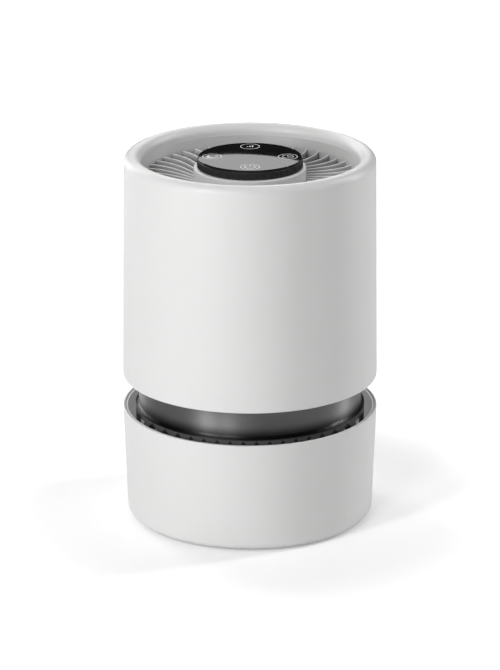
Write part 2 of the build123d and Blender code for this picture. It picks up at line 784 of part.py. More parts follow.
def motor_base():
    """Flange and bearing tube, hung from the hub's floor on rubber."""
    neck_bore = BEARING_RADIUS - 0.8
    high = motor_flange + 2.5
    body = turned(
        (BEARING_RADIUS, tube_low),
        (TUBE_RADIUS, tube_low),
        (TUBE_RADIUS, motor_flange),
        (FLANGE_RADIUS, motor_flange),
        (FLANGE_RADIUS, high),
        (BEARING_RADIUS, high),
        (BEARING_RADIUS, high - BEARING_WIDTH),
        (neck_bore, high - BEARING_WIDTH),
        (neck_bore, tube_low + BEARING_WIDTH),
        (BEARING_RADIUS, tube_low + BEARING_WIDTH),
    )
    return cut(body, [rod(PILOT_RADIUS, motor_flange, high, x, y) for x, y in on_circle(motor_post, 3, 90)])


def motor_bearings():
    high = motor_flange + 2.5
    bore = SHAFT_RADIUS + RUNNING_FIT
    return group(
        [
            tube(bore, BEARING_RADIUS, tube_low, tube_low + BEARING_WIDTH),
            tube(bore, BEARING_RADIUS, high - BEARING_WIDTH, high),
        ]
    )


def stator_core():
    """Laminated stack of teeth with pole shoes."""
    high = stack_low + STATOR_STACK
    core = tube(TUBE_RADIUS, TUBE_RADIUS + 3, stack_low, high)
    tooth_middle = (STATOR_RADIUS + TUBE_RADIUS + 1) / 2
    tooth = block(STATOR_RADIUS - TUBE_RADIUS - 3, 2.4, stack_low, high, tooth_middle)
    shoe = sector(STATOR_RADIUS - 1.8, STATOR_RADIUS, stack_low, high, 30)
    return joined(core, around(tooth, STATOR_TEETH) + around(shoe, STATOR_TEETH))


def stator_windings():
    """One copper coil round each tooth."""
    length = STATOR_RADIUS - TUBE_RADIUS - 3 - 1.8 - 2.6
    middle = (STATOR_RADIUS - 1.8 + TUBE_RADIUS + 3) / 2 + 0.6
    outer = block(length, 5.2, stack_low - 1.4, stack_low + STATOR_STACK + 1.4, middle)
    inner = block(length + 1, 2.6, stack_low - 0.1, stack_low + STATOR_STACK + 0.1, middle)
    return group(around(outer - inner, STATOR_TEETH))


def motor_grommets():
    low, high = motor_flange + 2.5, hub_floor
    points = on_circle(motor_post, 3, 90)
    return group([tube_at(SCREW_RADIUS + 0.1, 4, low, high, x, y) for x, y in points])


def motor_screws():
    seat = hub_floor + HUB_FLOOR
    return group([screw(x, y, seat, 7, False) for x, y in on_circle(motor_post, 3, 90)])


def motor_shaft():
    return rod(SHAFT_RADIUS, can_low, motor_flange + 4)


def rotor_can():
    """Steel cup round the stator, carried by the shaft."""
    high = stack_low + STATOR_STACK + 2.5
    return turned(
        (SHAFT_RADIUS, can_low - CAN_WALL),
        (can_out, can_low - CAN_WALL),
        (can_out, high),
        (magnet_out, high),
        (magnet_out, can_low),
        (SHAFT_RADIUS, can_low),
    )


def rotor_magnet():
    return tube(magnet_out - MAGNET_THICKNESS, magnet_out, stack_low - 1, stack_low + STATOR_STACK + 1)


def impeller():
    """Backward-curved fan wheel: nose and hub round the motor, back plate, blades, shroud."""
    skin = 1.6
    inner = can_out + 0.1
    nose = can_low - CAN_WALL - 0.1
    body = turned(
        (0, nose - skin - 1.2),
        (inner - 2, nose - skin - 1.2),
        (inner + skin, nose + 0.5),
        (inner + skin, impeller_top - 6),
        (inner + 8, impeller_top - skin),
        (impeller_radius, impeller_top - skin),
        (impeller_radius, impeller_top),
        (inner + 6, impeller_top),
        (inner, impeller_top - 5),
        (inner, nose),
        (0, nose),
    )
    shroud_low = impeller_low
    shroud = turned(
        (EYE_RADIUS, shroud_low),
        (EYE_RADIUS + 1.5, shroud_low),
        (impeller_radius, shroud_low + 7),
        (impeller_radius, shroud_low + 7 + skin),
        (EYE_RADIUS, shroud_low + skin),
    )
    start, end = EYE_RADIUS + 1.0, impeller_radius
    marks = [(start, 0.0), ((start + end) / 2, -14.0), (end - 0.3, -34.0)]

    def spot(radius, sweep, side):
        angle = math.radians(sweep) + side * 0.8 / radius
        return (radius * math.cos(angle), radius * math.sin(angle))

    left = [spot(r, a, 1) for r, a in marks]
    right = [spot(r, a, -1) for r, a in marks]
    sides = [ThreePointArc(*left), Line(left[2], right[2]), ThreePointArc(*right), Line(right[0], left[0])]
    blade = Pos(0, 0, shroud_low + 0.8) * extrude(make_face(sides), IMPELLER_HEIGHT - 1.6)
    below = turned(
        (EYE_RADIUS - 2, shroud_low - 1),
        (impeller_radius + 2, shroud_low - 1),
        (impeller_radius + 2, shroud_low + 7.2),
        (impeller_radius, shroud_low + 7.2),
        (EYE_RADIUS + 0.5, shroud_low + 0.4),
        (EYE_RADIUS - 2, shroud_low + 0.4),
    )
    return joined(body + shroud, around(blade - below, IMPELLER_BLADES))


# --- filter cartridge -------------------------------------------------------------------

media_low = filter_low + CAP_THICKNESS
media_high = filter_top - CAP_THICKNESS
carbon_out = FILTER_BORE + 1.2 + CARBON_WALL
sleeve_in = filter_radius - SLEEVE_WALL


def filter_media():
    """Pleated paper, folded into a star between the carbon and the outer sleeve."""
    sheet = 2.6
    outer, inner = sleeve_in - 0.4, carbon_out + 0.4 + sheet

    def star(shift):
        points = []
        for i in range(2 * PLEATS):
            radius = (outer if i % 2 else inner) - shift
            angle = math.pi * i / PLEATS
            points.append((radius * math.cos(angle), radius * math.sin(angle)))
        return make_face(Polyline(*points, close=True))

    return Pos(0, 0, media_low) * extrude(star(0) - star(sheet), media_high - media_low)


def carbon_layer():
    return tube(carbon_out - CARBON_WALL, carbon_out, media_low, media_high)


def filter_cage():
    """Open plastic cage that lines the bore."""
    inner, outer = FILTER_BORE, FILTER_BORE + 1.1
    span = media_high - media_low
    levels = [media_low + span * i / 5 for i in (1, 2, 3, 4)]
    hoops = [tube(inner, outer, level - 0.9, level + 0.9) for level in levels]
    ends = [tube(inner, outer, media_low, media_low + 2), tube(inner, outer, media_high - 2, media_high)]
    rib = block(1.1, 2.2, media_low, media_high, (inner + outer) / 2)
    return joined(ends[0] + ends[1], hoops + around(rib, 16))


def filter_sleeve():
    """Coarse pre-filter cloth round the pleats."""
    return tube(sleeve_in, filter_radius, media_low, media_high)


def filter_cap_bottom():
    """Closes the bore."""
    return rod(filter_radius, filter_low, media_low)


def filter_cap_top():
    return tube(FILTER_BORE, filter_radius, media_high, filter_top)


def filter_gasket():
    """Foam ring that seals the cartridge to the bellmouth plate."""
    return tube(THROAT_RADIUS + BELL_ROLL + 2, filter_radius - 6, filter_top, filter_top + GASKET_THICKNESS)


def pull_tab():
    """Woven strap across the bore, let into the top cap."""
    strap = block(2 * FILTER_BORE, 14, filter_top - 1.6, filter_top - 0.6)
    return strap & rod(FILTER_BORE, filter_top - 2, filter_top)


PIECES = [
    base_shell,
    rubber_feet,
    channel_liner,
    liner_screws,
    filter_seat,
    inlet_ring,
    neck_tube,
    upper_shell,
    shell_screws,
    bellmouth_plate,
    stator_duct,
    chassis_screws,
    outlet_grille,
    control_bezel,
    icon_inlays,
    touch_glass,
    light_guides,
    touch_board,
    panel_screws,
    main_board,
    board_components,
    board_screws,
    ribbon_cable,
    power_inlet,
    inlet_board,
    inlet_screws,
    power_cable,
    motor_base,
    motor_bearings,
    stator_core,
    stator_windings,
    motor_grommets,
    motor_screws,
    motor_shaft,
    rotor_can,
    rotor_magnet,
    impeller,
    filter_media,
    carbon_layer,
    filter_cage,
    filter_sleeve,
    filter_cap_bottom,
    filter_cap_top,
    filter_gasket,
    pull_tab,
]

os.makedirs("parts", exist_ok=True)
for piece in PIECES:
    export_step(piece(), f"parts/{piece.__name__}.step")
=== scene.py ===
# %% [markdown]
# # A round desk-top air purifier
#
# The real object is a white moulded cylinder over an open intake gap and a base cup. The packed
# model gives every piece its place and size. This lesson adds smooth surfaces, finishes and light.

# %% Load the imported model
import json
import math

import bmesh
import bpy
import numpy as np
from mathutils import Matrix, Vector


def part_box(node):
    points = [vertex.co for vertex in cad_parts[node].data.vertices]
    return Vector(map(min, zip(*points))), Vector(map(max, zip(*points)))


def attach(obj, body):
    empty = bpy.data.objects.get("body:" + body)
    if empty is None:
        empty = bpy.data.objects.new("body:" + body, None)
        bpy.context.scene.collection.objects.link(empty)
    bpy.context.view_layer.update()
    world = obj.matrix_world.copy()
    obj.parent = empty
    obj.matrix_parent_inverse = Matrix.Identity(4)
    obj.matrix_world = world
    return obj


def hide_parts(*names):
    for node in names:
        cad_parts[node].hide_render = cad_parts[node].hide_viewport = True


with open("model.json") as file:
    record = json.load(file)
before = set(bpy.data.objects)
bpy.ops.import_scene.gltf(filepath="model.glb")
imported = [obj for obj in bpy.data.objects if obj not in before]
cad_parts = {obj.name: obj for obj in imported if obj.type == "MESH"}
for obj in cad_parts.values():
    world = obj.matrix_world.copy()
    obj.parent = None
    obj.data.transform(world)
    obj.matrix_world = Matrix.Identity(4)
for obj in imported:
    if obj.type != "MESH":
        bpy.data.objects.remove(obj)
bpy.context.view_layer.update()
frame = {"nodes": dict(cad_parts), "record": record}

nodes = frame["nodes"]

# %% [markdown]
# Lengths are in metres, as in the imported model. The turned pieces share one axis, so most sizes
# are a radius and a height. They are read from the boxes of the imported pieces, and only the
# fine details that Blender adds have sizes of their own.

# %% Sizes of the round pieces
MM = 0.001
shell_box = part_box("upper_shell")
grille_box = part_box("outlet_grille")
bezel_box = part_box("control_bezel")
sleeve_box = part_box("filter_sleeve")
BODY_R = shell_box[1].x
SHELL_LOW, TOP = shell_box[0].z, shell_box[1].z
SHELL_DRAFT = 2.0 * MM
RIM_R = BODY_R - SHELL_DRAFT
RIM_WIDTH = 11.0 * MM
BOWL_R = RIM_R - RIM_WIDTH
SHELL_WALL = 2.5 * MM
print("shell radius", round(BODY_R, 4), "from", round(SHELL_LOW, 4), "to", round(TOP, 4))

# %% [markdown]
# The camera stands about two metres away with a long lens, a little above the object, so the
# sides stay almost parallel and the round openings show as narrow ellipses.

# %% Camera
CAMERA_DISTANCE = 2.2
CAMERA_RISE = math.radians(18.7)
AIM_HEIGHT = 0.1235
LENS = 176.27  # millimetres, on a film side of 36

camera = bpy.data.objects.new("camera", bpy.data.cameras.new("camera"))
bpy.context.scene.collection.objects.link(camera)
setback = CAMERA_DISTANCE * math.cos(CAMERA_RISE)
camera.location = (0, -setback, AIM_HEIGHT + CAMERA_DISTANCE * math.sin(CAMERA_RISE))
camera.rotation_euler = (math.pi / 2 - CAMERA_RISE, 0, 0)
camera.data.lens = LENS
camera.data.clip_end = 20
bpy.context.scene.camera = camera
bpy.context.scene.view_settings.view_transform = "Standard"
print("lens", round(camera.data.lens, 1), "mm")

# %% [markdown]
# ## Surfaces as arrays
#
# Every new piece is a grid of points worked out by a formula. One helper turns such a grid into a
# mesh: it joins the ends where the grid closes on itself, welds the points that fall together at
# a pole, and makes all faces look outwards.

# %% From a grid of points to an object


def grid_faces(rows, columns, wrap_rows, wrap_columns):
    """Four corners for each cell: the point, the next along, the one across from that, the next up."""
    i = np.arange(rows if wrap_rows else rows - 1)
    j = np.arange(columns if wrap_columns else columns - 1)
    i, j = np.meshgrid(i, j, indexing="ij")
    a, b = i * columns + j, i * columns + (j + 1) % columns
    c, d = ((i + 1) % rows) * columns + (j + 1) % columns, ((i + 1) % rows) * columns + j
    return np.stack([a, b, c, d], axis=-1).reshape(-1, 4)


def make_object(name, points, faces):
    """A mesh object with smooth faces that all look outwards."""
    mesh = bpy.data.meshes.new(name)
    mesh.from_pydata(points.reshape(-1, 3).tolist(), [], faces.tolist())
    work = bmesh.new()
    work.from_mesh(mesh)
    bmesh.ops.remove_doubles(work, verts=work.verts, dist=1e-7)
    bmesh.ops.dissolve_degenerate(work, dist=1e-8, edges=work.edges)
    bmesh.ops.recalc_face_normals(work, faces=work.faces)
    work.to_mesh(mesh)
    work.free()
    mesh.shade_smooth()
    mesh.set_sharp_from_angle(angle=math.radians(40))
    piece = bpy.data.objects.new(name, mesh)
    bpy.context.scene.collection.objects.link(piece)
    print(name, len(mesh.vertices), "points")
    return piece


def arc(centre_r, centre_z, radius, start, end, count=9):
    """Points on an arc: the centre plus the radius times cosine and sine of evenly spaced angles."""
    a = np.radians(np.linspace(start, end, count))
    return np.stack([centre_r + radius * np.cos(a), centre_z + radius * np.sin(a)], axis=1)


def spread(start, end, count):
    """Evenly spaced points on a straight line."""
    return np.linspace(start, end, count)


def lathe(name, outline, steps=240, ripple=None):
    """Carries a closed outline of (radius, height) round Z: x is r cos a, y is r sin a.
    ripple takes the angles and the outline and gives a change of radius for each point."""
    outline = np.concatenate([np.atleast_2d(part) for part in outline])
    a = np.arange(steps) * 2 * np.pi / steps
    r = np.repeat(outline[None, :, 0], steps, axis=0)
    if ripple is not None:
        r = r + ripple(a[:, None], outline[None])
    x, y = r * np.cos(a)[:, None], r * np.sin(a)[:, None]
    z = np.repeat(outline[None, :, 1], steps, axis=0)
    points = np.stack([x, y, z], axis=-1)
    return make_object(name, points, grid_faces(steps, len(outline), True, True))


# %% [markdown]
# ## Finishes
#
# Moulded plastic is never one flat colour. It has a fine eroded grain from the mould, faint
# cloudiness, fingermarks that change its gloss, and corners rubbed a little smoother or lighter.
# Each of these is a node group, so that every material can take it at its own strength.

# %% Effects shared by the materials


def new_group(name, inputs, outputs):
    """An empty shader group with named sockets. Returns it with its two end nodes."""
    tree = bpy.data.node_groups.new(name, "ShaderNodeTree")
    for label, kind, value in inputs:
        socket = tree.interface.new_socket(label, in_out="INPUT", socket_type=kind)
        if value is not None:
            socket.default_value = value
    for label, kind in outputs:
        tree.interface.new_socket(label, in_out="OUTPUT", socket_type=kind)
    return tree, tree.nodes.new("NodeGroupInput"), tree.nodes.new("NodeGroupOutput")


def add(tree, kind, **settings):
    """A node with its own settings and, by socket name, its plain values."""
    node = tree.nodes.new(kind)
    for key, value in settings.items():
        if key in node.inputs:
            node.inputs[key].default_value = value
        else:
            setattr(node, key, value)
    return node


def calc(tree, operation, a, b=None, c=None):
    """A Math node fed by sockets or numbers."""
    node = tree.nodes.new("ShaderNodeMath")
    node.operation = operation
    for slot_number, value in enumerate((a, b, c)):
        if value is None:
            continue
        if isinstance(value, (int, float)):
            node.inputs[slot_number].default_value = value
        else:
            tree.links.new(value, node.inputs[slot_number])
    return node.outputs[0]


def grain_group():
    """Height of a spark-eroded mould face: coarse noise plus fine noise."""
    tree, inn, out = new_group(
        "mould_grain",
        [("Vector", "NodeSocketVector", None), ("Scale", "NodeSocketFloat", 1500.0)],
        [("Height", "NodeSocketFloat")],
    )
    coarse = add(tree, "ShaderNodeTexNoise", Detail=2.0, Roughness=0.6)
    fine = add(tree, "ShaderNodeTexNoise", Detail=1.0, Roughness=0.5)
    for node, factor in ((coarse, 1.0), (fine, 2.7)):
        tree.links.new(inn.outputs["Vector"], node.inputs["Vector"])
        tree.links.new(calc(tree, "MULTIPLY", inn.outputs["Scale"], factor), node.inputs["Scale"])
    height = calc(tree, "ADD", coarse.outputs[0], calc(tree, "MULTIPLY", fine.outputs[0], 0.5))
    tree.links.new(height, out.inputs["Height"])
    return tree


def cloud_group():
    """The base colour made a little lighter and darker in soft clouds and fine specks."""
    tree, inn, out = new_group(
        "cloudy_colour",
        [
            ("Vector", "NodeSocketVector", None),
            ("Colour", "NodeSocketColor", (0.8, 0.8, 0.8, 1)),
            ("Strength", "NodeSocketFloat", 0.04),
            ("Scale", "NodeSocketFloat", 30.0),
        ],
        [("Colour", "NodeSocketColor")],
    )
    clouds = add(tree, "ShaderNodeTexNoise", Detail=3.0, Roughness=0.55)
    tree.links.new(inn.outputs["Vector"], clouds.inputs["Vector"])
    tree.links.new(inn.outputs["Scale"], clouds.inputs["Scale"])
    specks = add(tree, "ShaderNodeTexNoise", Detail=1.0, Roughness=0.5)
    tree.links.new(inn.outputs["Vector"], specks.inputs["Vector"])
    tree.links.new(calc(tree, "MULTIPLY", inn.outputs["Scale"], 22.0), specks.inputs["Scale"])
    both = calc(tree, "ADD", clouds.outputs[0], calc(tree, "MULTIPLY", specks.outputs[0], 0.35))
    shift = calc(tree, "SUBTRACT", both, 0.675)
    gain = calc(tree, "ADD", calc(tree, "MULTIPLY", shift, inn.outputs["Strength"]), 1.0)
    scaled = add(tree, "ShaderNodeVectorMath", operation="SCALE")
    tree.links.new(inn.outputs["Colour"], scaled.inputs[0])
    tree.links.new(gain, scaled.inputs["Scale"])
    tree.links.new(scaled.outputs[0], out.inputs["Colour"])
    return tree


def touch_group():
    """Where hands and dust have dulled the gloss: patchy noise pushed towards its ends."""
    tree, inn, out = new_group(
        "handling",
        [("Vector", "NodeSocketVector", None), ("Scale", "NodeSocketFloat", 25.0)],
        [("Mask", "NodeSocketFloat")],
    )
    patches = add(tree, "ShaderNodeTexNoise", Detail=5.0, Roughness=0.65, Distortion=0.6)
    tree.links.new(inn.outputs["Vector"], patches.inputs["Vector"])
    tree.links.new(inn.outputs["Scale"], patches.inputs["Scale"])
    ends = add(tree, "ShaderNodeMapRange")
    ends.inputs["From Min"].default_value = 0.42
    ends.inputs["From Max"].default_value = 0.68
    tree.links.new(patches.outputs[0], ends.inputs["Value"])
    tree.links.new(ends.outputs["Result"], out.inputs["Mask"])
    return tree


def wear_group():
    """Rubbed corners: where the surface bends outwards, broken up by noise."""
    tree, inn, out = new_group(
        "edge_wear",
        [("Vector", "NodeSocketVector", None), ("Scale", "NodeSocketFloat", 200.0)],
        [("Mask", "NodeSocketFloat")],
    )
    shape = add(tree, "ShaderNodeNewGeometry")
    bend = add(tree, "ShaderNodeMapRange")
    bend.inputs["From Min"].default_value = 0.52
    bend.inputs["From Max"].default_value = 0.60
    tree.links.new(shape.outputs["Pointiness"], bend.inputs["Value"])
    broken = add(tree, "ShaderNodeTexNoise", Detail=3.0)
    tree.links.new(inn.outputs["Vector"], broken.inputs["Vector"])
    tree.links.new(inn.outputs["Scale"], broken.inputs["Scale"])
    tree.links.new(calc(tree, "MULTIPLY", bend.outputs["Result"], broken.outputs[0]), out.inputs["Mask"])
    return tree


GRAIN, CLOUD, TOUCH, WEAR = grain_group(), cloud_group(), touch_group(), wear_group()
print("effects", [group.name for group in (GRAIN, CLOUD, TOUCH, WEAR)])

# %% [markdown]
# One recipe serves most finishes: a colour with clouds, a gloss with handling marks, a bump from
# the grain and lighter rubbed corners. The steady values, such as metal or coat, are set straight
# on the shader, and only what changes over the surface is wired.

# %% The recipe for a moulded or metal finish


def place_group(tree, group, vector, **values):
    """A group node that reads the given coordinates."""
    node = tree.nodes.new("ShaderNodeGroup")
    node.node_tree = group
    tree.links.new(vector, node.inputs["Vector"])
    for key, value in values.items():
        node.inputs[key].default_value = value
    return node


def finish(
    name,
    colour,
    rough=0.4,
    cloud=0.04,
    cloud_scale=30.0,
    marks=0.06,
    marks_scale=25.0,
    grain=1500.0,
    depth=0.00002,
    wear=0.05,
    **shader_values,
):
    """A material from the recipe. depth is the grain's height in metres."""
    material = bpy.data.materials.new(name)
    material.use_nodes = True
    tree = material.node_tree
    shader = tree.nodes["Principled BSDF"]
    for key, value in shader_values.items():
        shader.inputs[key.replace("_", " ").title().replace("Ior", "IOR")].default_value = value
    vector = add(tree, "ShaderNodeTexCoord").outputs["Object"]
    tone = place_group(tree, CLOUD, vector, Colour=(*colour, 1), Strength=cloud, Scale=cloud_scale)
    worn = place_group(tree, WEAR, vector)
    light = add(tree, "ShaderNodeMix", data_type="RGBA")
    tree.links.new(calc(tree, "MULTIPLY", worn.outputs["Mask"], wear), light.inputs["Factor"])
    tree.links.new(tone.outputs["Colour"], light.inputs["A"])
    light.inputs["B"].default_value = (*[min(1.0, c * 1.2 + 0.12) for c in colour], 1)
    tree.links.new(light.outputs["Result"], shader.inputs["Base Color"])
    handled = place_group(tree, TOUCH, vector, Scale=marks_scale)
    gloss = calc(tree, "MULTIPLY_ADD", handled.outputs["Mask"], marks, rough)
    tree.links.new(gloss, shader.inputs["Roughness"])
    height = place_group(tree, GRAIN, vector, Scale=grain)
    bump = add(tree, "ShaderNodeBump", Strength=1.0)
    bump.inputs["Distance"].default_value = depth
    tree.links.new(height.outputs["Height"], bump.inputs["Height"])
    tree.links.new(bump.outputs["Normal"], shader.inputs["Normal"])
    return material


# %% [markdown]
# Some pieces change tone over their surface. A mask maker is a function that adds the nodes of a
# mask to a material and returns its socket, and one function mixes a second colour in by it.

# %% Second tones by a mask


def two_tone(material, mask_maker, colour, amount=1.0):
    """Mixes a second colour over the material's own where the mask is 1."""
    tree = material.node_tree
    shader = tree.nodes["Principled BSDF"]
    own = shader.inputs["Base Color"].links[0].from_socket
    mix = add(tree, "ShaderNodeMix", data_type="RGBA")
    tree.links.new(calc(tree, "MULTIPLY", mask_maker(tree), amount), mix.inputs["Factor"])
    tree.links.new(own, mix.inputs["A"])
    mix.inputs["B"].default_value = (*colour, 1)
    tree.links.new(mix.outputs["Result"], shader.inputs["Base Color"])


def height_mask(low, high):
    """A mask maker: 1 below the low height, 0 above the high one, with a soft step between."""

    def build(tree):
        height = add(tree, "ShaderNodeSeparateXYZ")
        tree.links.new(add(tree, "ShaderNodeTexCoord").outputs["Object"], height.inputs[0])
        step = add(tree, "ShaderNodeMapRange", interpolation_type="SMOOTHSTEP")
        for label, value in (("From Min", low), ("From Max", high), ("To Min", 1.0), ("To Max", 0.0)):
            step.inputs[label].default_value = value
        tree.links.new(height.outputs["Z"], step.inputs["Value"])
        return step.outputs["Result"]

    return build


def painted_window_shade(pitch, width, low, high):
    """A mask maker: pointed teeth of painted shade over a row of openings, standing for their dark
    heads. A tooth is 1 where the distance from the opening's middle is under half its width, times the
    share of the height that is still above."""

    def build(tree):
        place = add(tree, "ShaderNodeSeparateXYZ")
        tree.links.new(add(tree, "ShaderNodeTexCoord").outputs["Object"], place.inputs[0])
        across = calc(tree, "FRACT", calc(tree, "DIVIDE", place.outputs["X"], pitch))
        away = calc(tree, "MULTIPLY", calc(tree, "ABSOLUTE", calc(tree, "SUBTRACT", across, 0.5)), pitch)
        share = calc(tree, "DIVIDE", calc(tree, "SUBTRACT", high, place.outputs["Z"]), high - low)
        inside = calc(tree, "LESS_THAN", away, calc(tree, "MULTIPLY", share, width / 2))
        return calc(tree, "MULTIPLY", inside, calc(tree, "GREATER_THAN", place.outputs["Z"], low))

    return build


def attribute_mask(name):
    """A mask maker that reads a value stored on the mesh's own points."""

    def build(tree):
        return add(tree, "ShaderNodeAttribute", attribute_name=name).outputs["Fac"]

    return build


# %% [markdown]
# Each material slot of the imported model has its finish. Colours are linear, so the whites look
# lower here than they do on a screen. The metal neck is brushed round, which the anisotropy
# shows, and the glass is smooth, with a weak reflection.

# %% The finishes
MATERIALS = {
    "shell_white": finish("shell_white", (0.83, 0.83, 0.825), 0.36, cloud=0.02, depth=0.000006),
    "louvre_grey": finish("louvre_grey", (0.60, 0.60, 0.597), 0.4, depth=0.000006),
    "neck_silver": finish(
        "neck_silver",
        (0.22, 0.22, 0.222),
        0.42,
        grain=2600.0,
        metallic=1.0,
        anisotropic=0.85,
        anisotropic_rotation=0.25,
    ),
    "liner_grey": finish("liner_grey", (0.84, 0.84, 0.84), 0.5),
    "ring_black": finish("ring_black", (0.075, 0.075, 0.077), 0.55),
    "panel_black": finish("panel_black", (0.013, 0.013, 0.014), 0.42, depth=0.00001),
    "glass_black": finish(
        "glass_black",
        (0.008, 0.008, 0.009),
        0.015,
        marks=0.02,
        depth=0.0000002,
        specular_ior_level=0.25,
    ),
    "icon_white": finish("icon_white", (0.92, 0.92, 0.92), 0.5, grain=4000.0),
    "guide_clear": finish("guide_clear", (0.8, 0.82, 0.84), 0.3),
    "board_green": finish("board_green", (0.02, 0.14, 0.07), 0.35),
    "parts_dark": finish("parts_dark", (0.05, 0.05, 0.055), 0.45),
    "cable_black": finish("cable_black", (0.02, 0.02, 0.02), 0.55),
    "chassis_grey": finish("chassis_grey", (0.16, 0.165, 0.17), 0.5),
    "fan_black": finish("fan_black", (0.03, 0.03, 0.033), 0.4),
    "screw_steel": finish("screw_steel", (0.55, 0.55, 0.56), 0.3, metallic=1.0),
    "can_steel": finish("can_steel", (0.5, 0.5, 0.51), 0.35, metallic=1.0),
    "magnet_dark": finish("magnet_dark", (0.08, 0.08, 0.085), 0.5, metallic=0.4),
    "bearing_steel": finish("bearing_steel", (0.62, 0.62, 0.63), 0.18, metallic=1.0),
    "core_steel": finish("core_steel", (0.3, 0.3, 0.31), 0.45, metallic=0.9),
    "winding_copper": finish("winding_copper", (0.62, 0.24, 0.09), 0.35, metallic=0.9),
    "rubber_black": finish("rubber_black", (0.025, 0.025, 0.025), 0.7),
    "paper_white": finish("paper_white", (0.78, 0.78, 0.75), 0.85, cloud=0.1, depth=0.00005),
    "carbon_black": finish("carbon_black", (0.03, 0.03, 0.03), 0.9, cloud=0.3, depth=0.0003),
    "sleeve_white": finish("sleeve_white", (0.72, 0.74, 0.76), 0.85),
    "cap_white": finish("cap_white", (0.74, 0.75, 0.75), 0.45),
    "foam_grey": finish("foam_grey", (0.14, 0.14, 0.15), 0.9, depth=0.0002),
    "tab_blue": finish("tab_blue", (0.06, 0.16, 0.34), 0.8),
}

# %% [markdown]
# The neck darkens towards its foot as painted shade. The louvres' sides carry painted shade under a
# painted highlight on their top edges. Pointed dark teeth of painted shade stand for the heads of
# the ring's window openings. The liner sits in a deep channel, and a faint glow on it is painted light.

# %% Painted shade, painted highlights and the liner's painted glow
NECK_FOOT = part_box("inlet_ring")[1].z
# Painted shade at the neck's foot: the heights where it starts, where it ends, and how strong it is
FOOT_SHADE_LOW, FOOT_SHADE_HIGH = NECK_FOOT + 1.5 * MM, NECK_FOOT + 10 * MM
FOOT_SHADE_AMOUNT = 0.9
WINDOW_PITCH, WINDOW_WIDTH, WINDOW_BAR = 8.6 * MM, 5.3 * MM, 3.0 * MM
SHADE_TEETH_LOW, SHADE_TEETH_HIGH = NECK_FOOT - WINDOW_BAR - MM, NECK_FOOT - 0.2 * MM
# Painted light: the strength of a glow on the liner, which is no lamp
LINER_PAINTED_GLOW = 0.14
# Painted shade: the neck's colour darkens towards its foot, standing for the shade of the cup and the
# ring
two_tone(MATERIALS["neck_silver"], height_mask(FOOT_SHADE_LOW, FOOT_SHADE_HIGH), (0.03, 0.03, 0.031), FOOT_SHADE_AMOUNT)
# Painted shade: the louvres' sides are coloured darker from just below their top edges down, between the
# blades
two_tone(MATERIALS["louvre_grey"], attribute_mask("depth"), (0.10, 0.10, 0.10))
# Painted highlight along the louvres' top edges; the drum gets the same lighter colour evenly, at
# DRUM_TONE
two_tone(MATERIALS["louvre_grey"], attribute_mask("crest"), (0.95, 0.95, 0.945))
# Painted shade: black pointed teeth on the ring stand for the dark heads of its window openings
points = painted_window_shade(WINDOW_PITCH, WINDOW_WIDTH, SHADE_TEETH_LOW, SHADE_TEETH_HIGH)
two_tone(MATERIALS["ring_black"], points, (0.006, 0.006, 0.006))
# Painted light: the liner glows faintly to brighten its wall in the deep, shaded channel
liner_shader = MATERIALS["liner_grey"].node_tree.nodes["Principled BSDF"]
liner_shader.inputs["Emission Color"].default_value = (1, 1, 1, 1)
liner_shader.inputs["Emission Strength"].default_value = LINER_PAINTED_GLOW

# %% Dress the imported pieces
slot_of = {part["node"]: part["material_slot"] for part in frame["record"]["subparts"]}


def dress(piece, slot_name):
    """Puts the slot's material on a piece."""
    piece.data.materials.clear()
    piece.data.materials.append(MATERIALS[slot_name])


for node_name, node_object in nodes.items():
    dress(node_object, slot_of[node_name])
print("finishes", len(MATERIALS), "on", len(nodes), "packed pieces")

# %% [markdown]
# ## The upper shell
#
# The shell is one moulding of even thickness: a side that is slightly narrower at the top, a
# full-round rim and the bowl's wall. It is turned from one outline, which keeps the highlights
# on the rim smooth. The slot for the power socket is then cut through its back.

# %% Upper shell
LOWER_EDGE = 0.5 * MM
BOWL_DEPTH = 14.2 * MM  # from the grille ring's top down to the end of the bowl's wall
ROLL = RIM_WIDTH / 2
roll_z, roll_r = TOP - ROLL, RIM_R - ROLL
bowl_low = grille_box[1].z - BOWL_DEPTH
inner_low, inner_high = BODY_R - SHELL_WALL, RIM_R - SHELL_WALL
shell = lathe(
    "outer_shell",
    [
        arc(BODY_R - LOWER_EDGE, SHELL_LOW + LOWER_EDGE, LOWER_EDGE, -90, 0, 6),
        spread((BODY_R, SHELL_LOW + 2 * LOWER_EDGE), (RIM_R, roll_z - MM), 60),
        arc(roll_r, roll_z, ROLL, 0, 180, 41),
        spread((BOWL_R, roll_z - MM), (BOWL_R, bowl_low), 4),
        spread((BOWL_R + SHELL_WALL, bowl_low), (BOWL_R + SHELL_WALL, roll_z - MM), 4),
        arc(roll_r, roll_z, ROLL - SHELL_WALL, 180, 0, 21),
        spread((inner_high, roll_z - MM), (inner_low, SHELL_LOW + 2 * LOWER_EDGE), 60),
        arc(inner_low + LOWER_EDGE, SHELL_LOW + LOWER_EDGE, LOWER_EDGE, 180, 270, 6),
    ],
    steps=300,
)

